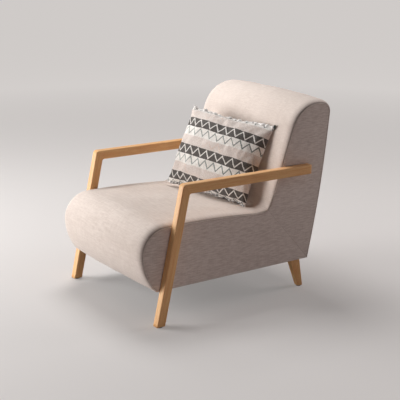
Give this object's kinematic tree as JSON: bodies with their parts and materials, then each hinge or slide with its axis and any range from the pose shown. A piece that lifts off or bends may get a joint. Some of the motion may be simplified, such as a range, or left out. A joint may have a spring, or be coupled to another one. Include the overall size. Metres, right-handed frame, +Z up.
{
  "type": "fireside chair",
  "caption": "Low upholstered lounge chair with a rolled seat front and top, mitred oak arm frames as front legs, tapered rear legs and a loose scatter cushion.",
  "frame": {"origin": "on the floor, under the middle of the chair's bounding box", "axes": "+Z up, -Y towards the front of the chair, +X towards the sitter's left"},
  "size_m": [0.7, 0.9302, 0.8009],
  "materials": {
    "oak": "satin lacquered oak",
    "plywood": "raw birch plywood",
    "softwood": "raw pine and beech",
    "upholstery": "light greige woven furnishing fabric",
    "foam": "upholstery foam and fibre filling",
    "dark_cloth": "black cambric, felt and webbing",
    "cushion_cloth": "woven cotton with zigzag stripes in charcoal, grey and white",
    "steel": "zinc-plated steel",
    "insert_brass": "turned brass",
    "black_nylon": "moulded black nylon"
  },
  "bodies": {
    "chair": {"front_leg_left": "oak", "front_leg_right": "oak", "arm_rail_left": "oak", "arm_rail_right": "oak", "rear_leg_left": "oak", "rear_leg_right": "oak", "side_frame_left": "plywood", "side_frame_right": "plywood", "side_pad_left": "foam", "side_pad_right": "foam", "seat_side_cover_left": "upholstery", "seat_side_cover_right": "upholstery", "back_side_cover_left": "upholstery", "back_side_cover_right": "upholstery", "arm_dowels": "softwood", "foot_glides": "black_nylon", "front_bottom_rail": "softwood", "front_spring_rail": "softwood", "rear_spring_rail": "softwood", "lumbar_rail": "softwood", "back_top_rail": "softwood", "rear_bottom_rail": "softwood", "middle_stretcher": "softwood", "corner_blocks": "softwood", "frame_screws": "steel", "threaded_inserts": "insert_brass", "arm_bolts": "steel", "bolt_washers": "steel", "arm_spacers": "black_nylon", "leg_plates": "steel", "plate_screws": "steel", "leg_bolts": "steel", "seat_springs": "steel", "spring_clips": "steel", "back_webbing": "dark_cloth", "seat_felt": "dark_cloth", "seat_foam": "foam", "back_foam": "foam", "rear_pad": "foam", "seat_cover": "upholstery", "back_cover": "upholstery", "outside_back_cover": "upholstery", "dust_cover": "dark_cloth"},
    "cushion": {"cushion_front": "cushion_cloth", "cushion_back": "cushion_cloth", "cushion_filling": "foam"}
  },
  "joints": [
    {"name": "cushion_lift", "type": "slide", "parent": "chair", "child": "cushion", "axis": [0, 0, 1], "range_m": [0, 0.3]}
  ]
}
